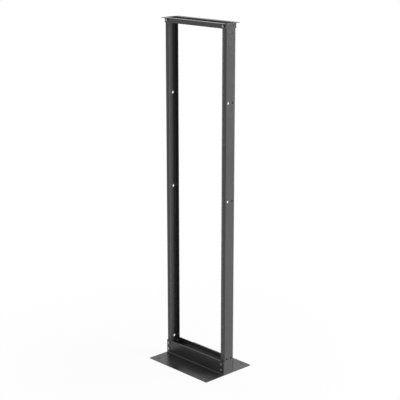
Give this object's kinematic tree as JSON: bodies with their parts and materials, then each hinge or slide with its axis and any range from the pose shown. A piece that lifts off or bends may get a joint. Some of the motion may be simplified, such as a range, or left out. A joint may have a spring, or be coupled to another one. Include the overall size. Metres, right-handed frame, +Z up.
{
  "type": "two post open frame rack",
  "caption": "Tall floor-standing open frame of two steel channel posts tied by base and top angles, drilled to hold rack equipment between the posts.",
  "frame": {"origin": "on the floor, under the middle of the rack", "axes": "+Z up, +X to the right seen from the front, -Y towards the front, where the equipment holes are"},
  "size_m": [0.516, 0.381, 2.1336],
  "materials": {
    "black_coat": "fine textured black powder coat",
    "dull_zinc": "dull zinc plated fasteners"
  },
  "bodies": {
    "root": {"left_post": "black_coat", "right_post": "black_coat", "front_base_angle": "black_coat", "rear_base_angle": "black_coat", "front_top_angle": "black_coat", "rear_top_angle": "black_coat"}
  },
  "joints": []
}
